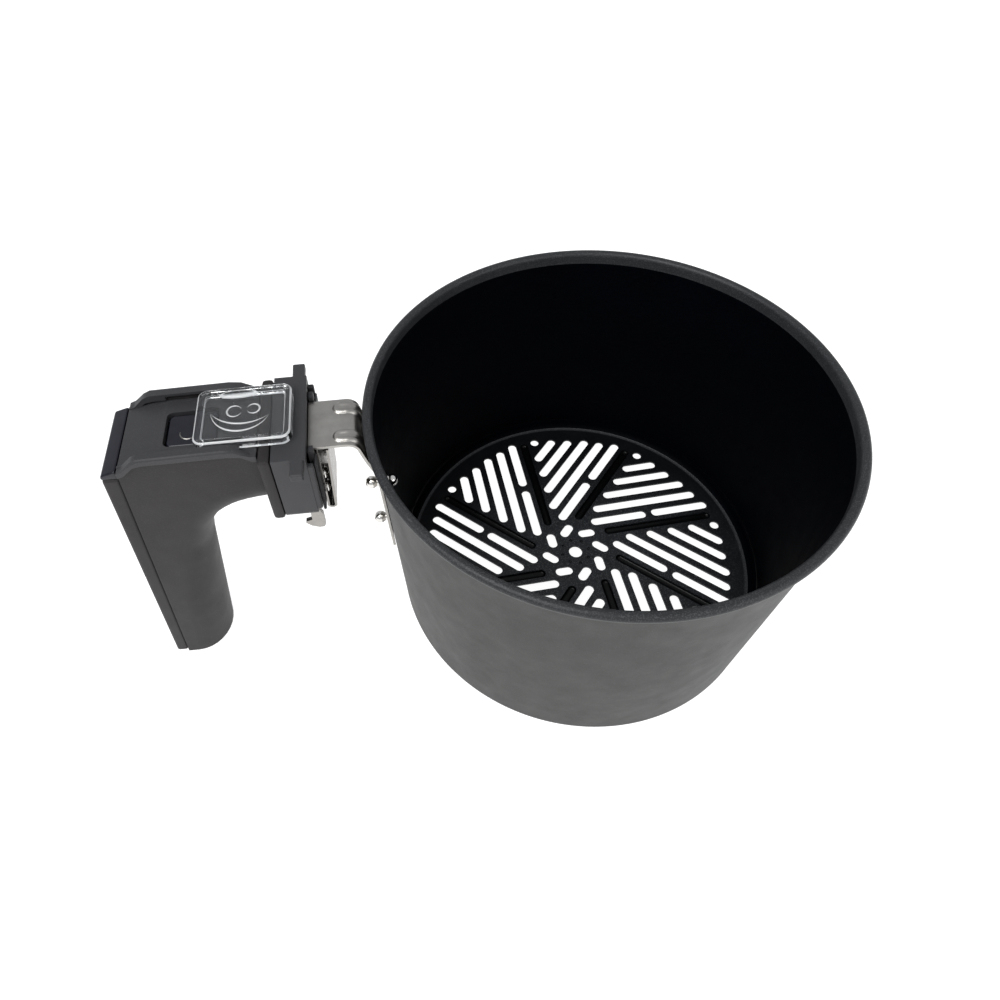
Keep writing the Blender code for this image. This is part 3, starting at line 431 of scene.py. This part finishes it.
def make_floor():
    """Perforated floor with pressed troughs, dimples and its edge turned up to the wall."""
    low = FLOOR_Z - FLOOR_SHEET
    edge_r = FLOOR_FILLET_R + FLOOR_FILLET
    corner = (FLOOR_FILLET_R, FLOOR_Z + FLOOR_FILLET)
    profile = [(edge_r + 0.1, corner[1] + 0.6), (edge_r + FLOOR_SHEET, corner[1] + 0.6)]
    profile += arc(corner, FLOOR_FILLET + FLOOR_SHEET, 0, -90, 12)
    profile += [(CENTRE_HOLE_R, low), (CENTRE_HOLE_R, FLOOR_Z)] + arc(corner, FLOOR_FILLET, -90, -8, 11)
    builder = bmesh.new()
    revolve(builder, profile, 192, place=PLACE)
    floor = hidden("basket_floor_fine", builder)
    ridges, troughs, slots = bmesh.new(), bmesh.new(), bmesh.new()
    for sector in range(SECTORS):
        add_groove(ridges, sector, GROOVE_W + 1.6, GROOVE_DEPTH + 0.9, low + 0.5, 0.15)
        add_groove(troughs, sector, GROOVE_W, GROOVE_DEPTH, FLOOR_Z + 0.05, 0.3)
        for row, (start, end) in enumerate(SLOT_ENDS):
            add_slot(slots, sector, SLOT_ROW_0 + row * SLOT_PITCH, start, end)
        add_slot(slots, sector, SLOT_ROW_0, *OUTER_SLOT_ENDS)
        add_slot(slots, sector, *SMALL_SLOT)
        angle = radians(9 + sector * 360 / SECTORS)
        dimple = Vector((cos(angle) * DIMPLE_CIRCLE_R, sin(angle) * DIMPLE_CIRCLE_R, FLOOR_Z + 0.3))
        bmesh.ops.create_uvsphere(slots, u_segments=14, v_segments=9, radius=DIMPLE_R,
                                  matrix=PLACE @ Matrix.Translation(dimple))
    # The solver drops the last trough of its tool, so a spare one hangs clear above the floor
    add_groove(troughs, 0, GROOVE_W, GROOVE_DEPTH, FLOOR_Z + 30, 0.3)
    for tools in (ridges, troughs, slots):
        bmesh.ops.recalc_face_normals(tools, faces=tools.faces)
    bake_booleans(floor, [("UNION", hidden("ridges", ridges)), ("DIFFERENCE", hidden("troughs", troughs)),
                          ("DIFFERENCE", hidden("slots", slots))])
    floor.data.materials.clear()
    floor.data.materials.append(FLOOR_COAT)
    floor.data.materials.append(PAINTED_TROUGH_SHADE)
    floor.data.materials.append(INNER_COAT_AND_PAINTED_REFLECTION)
    floor.data.materials.append(RIM_COAT_AND_PAINTED_HIGHLIGHT)
    for face in floor.data.polygons:
        at = (face.center - AXIS) / MM
        height = at.z - FLOOR_Z
        tilt = face.normal.z
        # Painted light on the turned-up edge: black past the outer radius as a painted dark reflection of the
        # wall, and a lighter ring inside it as a painted highlight
        if at.to_2d().length > FLOOR_PAINTED_REFLECTION_R and height > 0.2:
            face.material_index = 2
        elif at.to_2d().length > FLOOR_PAINTED_HIGHLIGHT_R and height > 0.02:
            face.material_index = 3
        # Painted shade on the troughs' sloped sides and bottoms
        elif -GROOVE_DEPTH < height < -0.03 and (0.2 < tilt < 0.93 or tilt >= 0.2 and height < -0.9):
            face.material_index = 1
    floor.data.shade_smooth()
    floor.data.set_sharp_from_angle(angle=radians(35))
    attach(floor, "basket")
    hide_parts("basket_floor")
    soften(floor, 0.16, 2, 50)


def make_bracket():
    """Steel strap with two pressed ribs over its bend, curved to the wall below."""
    wall_gap = GAP + STRAP_T / 2
    middle = [(x, STRAP_TOP_Z - STRAP_T / 2) for x in (
        STRAP_END_X, -135, -125, -121, -118, -116, -115, -114.4, -113.9, -113.4, -112.9, -112.4, -111.9,
        -111.3, -110.6, -109.8)]
    middle += arc((STRAP_BEND_X, STRAP_TOP_Z - STRAP_BEND_R), STRAP_BEND_R - STRAP_T / 2, 90, STRAP_SLOPE, 16)
    knee = middle[-1]
    meet = (-(wall_r(STRAP_MEETS_WALL_Z) + wall_gap), STRAP_MEETS_WALL_Z)
    middle += [(knee[0] + (meet[0] - knee[0]) * t, knee[1] + (meet[1] - knee[1]) * t)
               for t in (0.1, 0.2, 0.3, 0.4, 0.5, 0.6, 0.7, 0.8, 0.9)]
    middle += [(-(wall_r(z) + wall_gap), z)
               for z in (STRAP_MEETS_WALL_Z, 104, 100, 95, 88, 80, 72, 64, 58, PAD_FOOT_Z)]
    runs = [0.0]
    for before, after in zip(middle, middle[1:]):
        runs.append(runs[-1] + sqrt((after[0] - before[0]) ** 2 + (after[1] - before[1]) ** 2))
    across = 56
    builder = bmesh.new()
    grid = []
    for k, (x, z) in enumerate(middle):
        before, after = middle[max(k - 1, 0)], middle[min(k + 1, len(middle) - 1)]
        along = Vector((after[0] - before[0], 0, after[1] - before[1])).normalized()
        outward = Vector((along.z, 0, -along.x)) * -1
        row = []
        for j in range(across + 1):
            y = -STRAP_Y + 2 * STRAP_Y * j / across
            hug = min(max((118 - z) / 12, 0), 1)
            hug = hug * hug * (3 - 2 * hug)
            back = (wall_r(z) - sqrt(wall_r(z) ** 2 - y * y)) * hug
            rib = rib_height(runs[k], y)
            point = Vector((x + back, y, z)) + outward * rib
            row.append(builder.verts.new(PLACE @ point))
        grid.append(row)
    for first, second in zip(grid, grid[1:]):
        for j in range(across):
            builder.faces.new((first[j], first[j + 1], second[j + 1], second[j]))
    bmesh.ops.recalc_face_normals(builder, faces=builder.faces)
    bracket = new_piece("handle_bracket_fine", builder, "basket", "satin_steel", [SATIN_STEEL],
                        "handle_bracket", 60)
    sheet = bracket.modifiers.new("sheet", "SOLIDIFY")
    sheet.thickness = STRAP_T * MM
    sheet.offset = 0
    sheet.use_even_offset = True
    soften(bracket, 0.22, 2, 60)


def rib_height(run, y):
    """Height of the two pressed ribs: a raised edge round a shallow dish, running over the bend."""
    along = run - RIB_START
    past = RIB_HALF_WIDTH * 2
    if along > -1:
        past = max(RIB_HALF_WIDTH - along, along - (RIB_LENGTH - RIB_HALF_WIDTH), 0)
    side = abs(abs(y) - RIB_Y)
    reach = sqrt(side * side + past * past) / RIB_HALF_WIDTH
    if reach >= 1:
        return 0.0
    edge = min((1 - reach) / 0.3, 1)
    dish = max(0.55 - reach, 0) / 0.55
    return RIB_HEIGHT * (edge * edge * (3 - 2 * edge) - 0.45 * min(dish * 2, 1))


def facing(at, along):
    """Millimetres about a point, with Z along a direction, to the part's frame."""
    return Matrix.Translation(at) @ along.to_track_quat("Z", "Y").to_matrix().to_4x4() @ Matrix.Scale(MM, 4)


def round_piece(name, profile, at, along, slot, material, node, steps=48):
    """A turned piece whose own Z points along a direction."""
    builder = bmesh.new()
    revolve(builder, profile, steps, closed=False, place=facing(at, along))
    return new_piece(name, builder, "basket", slot, [material], node, 40)


def make_rivets():
    """Rivets on the strap's middle line: a ball head on a neck outside, a disc and dome inside."""
    for level, z in RIVET_Z.items():
        inner, outer = -(SHEET + 0.4), GAP + STRAP_T + 0.4
        profile = [(0, outer + 6.4)] + arc((0, outer + 3.4), 3.0, 84, -38, 16)
        profile += [(2.15, outer + 1.3), (2.05, outer + 0.9), (2.1, outer), (1.6, outer - 0.1), (1.6, inner)]
        profile += [(3.45, inner), (3.7, inner - 0.15), (3.7, inner - 0.55), (3.45, inner - 0.7)]
        profile += [(2.7, inner - 0.8)]
        profile += arc((0, inner - 2.4), 2.8, 25, -84, 14) + [(0, inner - 5.2)]
        at = AXIS + Vector((-wall_r(z), 0, z)) * MM
        round_piece(f"rivet_{level}_fine", profile, at, Vector((-1, 0, 0)), "polished_steel", POLISHED_STEEL,
                    f"rivet_{level}")


def make_screws():
    """Round-headed screws with a cross recess."""
    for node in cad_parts:
        if "_screw_" not in node:
            continue
        low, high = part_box(node)
        middle = (low + high) / 2
        lying = node.startswith("channel")
        along = Vector((1, 0, 0)) if lying else Vector((0, 0, -1))
        head_r = (high.y - low.y) / 2 / MM
        length = ((high.x - low.x) if lying else (high.z - low.z)) / MM
        head_h = 0.62 * head_r
        shank = head_r / 2
        tip = -(length - head_h)
        profile = [(0, head_h)] + [(head_r * sin(radians(a)), head_h * cos(radians(a)))
                                   for a in (12, 24, 36, 48, 60, 72, 82)]
        profile += [(head_r, 0.12), (head_r - 0.1, 0), (shank, 0)]
        profile += [(shank, tip + 0.3), (shank - 0.3, tip), (0, tip)]
        at = Vector((high.x - head_h * MM, middle.y, middle.z)) if lying else \
            Vector((middle.x, middle.y, low.z + head_h * MM))
        screw = round_piece(node + "_fine", profile, at, along, "polished_steel", POLISHED_STEEL, node, 40)
        cross_at = facing(at, along) @ Matrix.Translation((0, 0, head_h))
        tools = []
        for size in ((head_r * 1.1, head_r * 0.26), (head_r * 0.26, head_r * 1.1)):
            bar = bmesh.new()
            bmesh.ops.create_cube(bar, size=1, matrix=cross_at @ Matrix.Diagonal((*size, head_h * 1.1, 1)))
            tools.append(("DIFFERENCE", hidden("bar", bar)))
        bake_booleans(screw, tools)


# Release button and guard

def make_button():
    """Gloss button with a thin raised arc on its top."""
    refine("release_button", "button", "gloss_plastic", GLOSS_PLASTIC, 0.25, 3)
    low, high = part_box("release_button")
    centre = Vector(((low.x + high.x) / 2, 0, high.z))
    builder = bmesh.new()
    count, around = 28, 10
    rings = []
    for i in range(count + 1):
        angle = radians(165 + 160 * i / count)
        taper = sin(pi * i / count) ** 0.35 if 0 < i < count else 0.08
        outward = Vector((cos(angle), sin(angle), 0))
        ring = []
        for j in range(around):
            turn = 2 * pi * j / around
            offset = outward * cos(turn) + Vector((0, 0, 1)) * sin(turn)
            point = outward * BUTTON_MARK_R + BUTTON_MARK_AT + offset * BUTTON_MARK_WIRE * taper
            ring.append(builder.verts.new(centre + point * MM))
        rings.append(ring)
    for first, second in zip(rings, rings[1:]):
        for j in range(around):
            k = (j + 1) % around
            builder.faces.new((first[j], first[k], second[k], second[j]))
    builder.faces.new(rings[0][::-1])
    builder.faces.new(rings[-1])
    bmesh.ops.recalc_face_normals(builder, faces=builder.faces)
    new_piece("button_mark", builder, "button", "polished_steel", [LATCH_STEEL])


def rounded_block(builder, low, high, corner, edge, corner_steps=8, edge_steps=4):
    """A block with rounded corners in plan and a rounded top edge, as stacked outlines."""
    def outline(inset, z):
        r = max(corner - inset, 0.2)
        points = []
        corners = ((high.x, high.y, 0), (low.x, high.y, 90), (low.x, low.y, 180), (high.x, low.y, 270))
        for cx, cy, start in corners:
            sx, sy = (1 if cx == high.x else -1), (1 if cy == high.y else -1)
            centre = (cx - sx * (inset + r), cy - sy * (inset + r))
            points += arc(centre, r, start, start + 90, corner_steps)
        return [builder.verts.new(PLACE @ Vector((x, y, z))) for x, y in points]

    rings = [outline(edge * 0.3, low.z), outline(0, low.z + edge * 0.3)]
    for i in range(edge_steps + 1):
        angle = radians(90 * i / edge_steps)
        rings.append(outline(edge * (1 - cos(angle)), high.z - edge + edge * sin(angle)))
    for first, second in zip(rings, rings[1:]):
        for i in range(len(first)):
            j = (i + 1) % len(first)
            builder.faces.new((first[i], first[j], second[j], second[i]))
    builder.faces.new(rings[0][::-1])
    builder.faces.new(rings[-1])


def to_basket(point):
    """From the part's frame to millimetres about the basket's axis and foot."""
    return (point - AXIS) / MM


def add_lens(builder, centre, half_length, half_width, height):
    """A pointed oval swelling, half sunk in the face it stands on."""
    made = bmesh.ops.create_uvsphere(builder, u_segments=32, v_segments=24, radius=1)["verts"]
    stand = Matrix.Rotation(pi / 2, 4, "Y")
    for vert in made:
        point = stand @ vert.co
        vert.co = PLACE @ (centre + Vector((point.x * half_length, point.y * half_width, point.z * height)))


def add_arc_ridge(builder, centre, radius, start, end, half_width, height, count=28):
    """A curved ridge of even width with pointed ends."""
    rings = []
    around = 12
    for i in range(count + 1):
        angle = radians(start + (end - start) * i / count)
        swell = max(sin(pi * i / count), 0.05)
        outward = Vector((cos(angle), sin(angle), 0))
        ring = []
        for j in range(around):
            turn = 2 * pi * j / around
            point = centre + outward * (radius + cos(turn) * half_width * swell)
            ring.append(builder.verts.new(PLACE @ (point + Vector((0, 0, sin(turn) * height * swell)))))
        rings.append(ring)
    for first, second in zip(rings, rings[1:]):
        for j in range(around):
            k = (j + 1) % around
            builder.faces.new((first[j], first[k], second[k], second[j]))
    builder.faces.new(rings[0][::-1])
    builder.faces.new(rings[-1])


def make_guard():
    """Clear sliding guard: a hollow cover with a thumb grip and a generic raised mark on its top."""
    low, high = (to_basket(corner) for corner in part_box("button_guard"))
    top = GUARD_TOP
    builder = bmesh.new()
    rounded_block(builder, Vector((low.x, -GUARD_HALF_Y, low.z)), Vector((high.x, GUARD_HALF_Y, top)),
                  GUARD_CORNER, GUARD_EDGE)
    guard = hidden("button_guard_fine", builder)
    pocket, lugs, marks = bmesh.new(), bmesh.new(), bmesh.new()
    rounded_block(pocket, Vector((low.x + GUARD_WALL, -GUARD_HALF_Y + GUARD_WALL, low.z - 2)),
                  Vector((high.x - GUARD_WALL, GUARD_HALF_Y - GUARD_WALL, top - GUARD_ROOF)),
                  POCKET_CORNER, POCKET_EDGE)
    bmesh.ops.create_cube(lugs, size=1, matrix=PLACE @ Matrix.Translation((-158, 0, 136.2)) @
                          Matrix.Diagonal((14, 32.8, 1.2, 1)))
    add_lens(marks, Vector((-151.0, 10.4, top - 0.2)), 8.0, 2.4, 1.35)
    add_arc_ridge(marks, Vector((-149.5, 2.4, top)), 12.2, 188, 338, 0.42, 0.4)
    add_arc_ridge(marks, Vector((-148.6, 10.0, top)), 16.0, 217, 309, 0.42, 0.4)
    add_arc_ridge(marks, Vector((-152.2, 1.0, top)), 2.9, 10, 350, 0.4, 0.35)
    add_arc_ridge(marks, Vector((-144.6, 1.6, top)), 2.5, 190, 530, 0.4, 0.35)
    for tools in (pocket, lugs, marks):
        bmesh.ops.recalc_face_normals(tools, faces=tools.faces)
    bake_booleans(guard, [("UNION", hidden("lugs", lugs)), ("DIFFERENCE", hidden("pocket", pocket)),
                          ("UNION", hidden("marks", marks))])
    guard.data.materials.clear()
    guard.data.materials.append(CLEAR_PLASTIC)
    guard.data.materials.append(FROSTED_PAINTED_HIGHLIGHT)
    # Painted highlight: the guard's rounded upper and lower edges, its raised mark and the sides of its thumb
    # grip take the whitish frosted plastic
    for face in guard.data.polygons:
        at = to_basket(face.center)
        on_mark = at.z > top + 0.05 and (at.y < 7.0 or face.normal.z < 0.88)
        on_upper_edge = at.z > top - 1.4 and 0.2 < face.normal.z < 0.97
        on_lower_edge = at.z < low.z + 0.4 and face.normal.z > -0.5
        face.material_index = 1 if on_mark or on_upper_edge or on_lower_edge else 0
    guard.data.shade_smooth()
    guard.data.set_sharp_from_angle(angle=radians(40))
    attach(guard, "guard")
    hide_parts("button_guard")
    soften(guard, 0.2, 2, 45)


# Stage, light and camera

def make_stage():
    """A plain pale table, sloped to meet the grip's foot and the far edge of the basket's foot."""
    grip_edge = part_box("handle_shell")[0]
    grip_foot = Vector((grip_edge.x + 23.0 * MM, 0, grip_edge.z))
    ring_far = Vector((AXIS.x + 90.1 * MM, 0, AXIS.z))
    slope = (ring_far.z - grip_foot.z) / (ring_far.x - grip_foot.x)
    builder = bmesh.new()
    size = 3.0
    corners = [builder.verts.new((grip_foot.x + x, y, grip_foot.z - 0.0006 + slope * x))
               for x, y in ((-size, -size), (size, -size), (size, size), (-size, size))]
    builder.faces.new(corners)
    mesh = bpy.data.meshes.new("table")
    builder.to_mesh(mesh)
    builder.free()
    material, nodes, links, shader = shader_tree("table")
    where = object_space(nodes, links)
    links.new(mixed(nodes, links, noise(nodes, links, where, 9), (0.3, 0.3, 0.3), (0.34, 0.34, 0.34)),
              shader.inputs["Base Color"])
    shader.inputs["Roughness"].default_value = 0.8
    shader.inputs["Emission Color"].default_value = (1, 1, 1, 1)
    shader.inputs["Emission Strength"].default_value = 0.95
    mesh.materials.append(material)
    table = bpy.data.objects.new("table", mesh)
    bpy.context.scene.collection.objects.link(table)


def area_light(name, at, to, size, power, colour=(1, 1, 1)):
    light = bpy.data.lights.new(name, "AREA")
    light.shape = "RECTANGLE"
    light.size, light.size_y = size
    light.energy = power
    light.color = colour
    holder = bpy.data.objects.new(name, light)
    holder.location = at
    holder.rotation_euler = (Vector(to) - Vector(at)).to_track_quat("-Z", "Y").to_euler()
    bpy.context.scene.collection.objects.link(holder)


def make_light():
    world = bpy.data.worlds.new("studio")
    world.use_nodes = True
    world.node_tree.nodes["Background"].inputs["Color"].default_value = (0.95, 0.97, 1, 1)
    world.node_tree.nodes["Background"].inputs["Strength"].default_value = 0.6
    bpy.context.scene.world = world
    area_light("key", (-0.55, -0.5, 1.1), (0, 0, 0.08), (0.8, 0.8), 12)
    area_light("fill", (0.7, -0.8, 0.7), (0.05, 0, 0.08), (0.9, 0.6), 3)


def make_camera():
    data = bpy.data.cameras.new("camera")
    data.sensor_width = CAMERA_SENSOR
    data.lens = CAMERA_LENS
    data.shift_x, data.shift_y = CAMERA_SHIFT
    data.clip_start = 0.01
    camera = bpy.data.objects.new("camera", data)
    camera.location = CAMERA_AT * MM
    turn = (CAMERA_LOOKS_AT - CAMERA_AT).to_track_quat("-Z", "Y")
    camera.rotation_euler = (turn @ Quaternion((0, 0, 1), radians(CAMERA_ROLL))).to_euler()
    bpy.context.scene.collection.objects.link(camera)
    bpy.context.scene.camera = camera


make_camera()
make_shell()
make_floor()
make_bracket()
make_rivets()
make_screws()
for node, slot, material, width in (
        ("handle_shell", "body_plastic", BODY_PLASTIC, 0.35),
        ("handle_fascia", "body_plastic", BODY_PLASTIC, 0.3),
        ("end_trim", "gloss_plastic", GLOSS_PLASTIC, 0.3),
        ("top_cover", "cover_plastic", COVER_PLASTIC, 0.4),
        ("collar_block", "cover_plastic", COVER_PLASTIC, 0.4),
        ("latch_housing", "cover_plastic", COVER_PLASTIC, 0.25),
        ("latch_channel", "satin_steel", LATCH_STEEL, 0.2),
        ("pivot_pin", "polished_steel", POLISHED_STEEL, 0.2)):
    refine(node, "basket", slot, material, width)
refine("latch_lever", "latch", "satin_steel", LATCH_STEEL, 0.25)
refine("button_spring", "basket", "satin_steel", LATCH_STEEL, 0.05, 1)
make_button()
make_guard()
make_stage()
make_light()
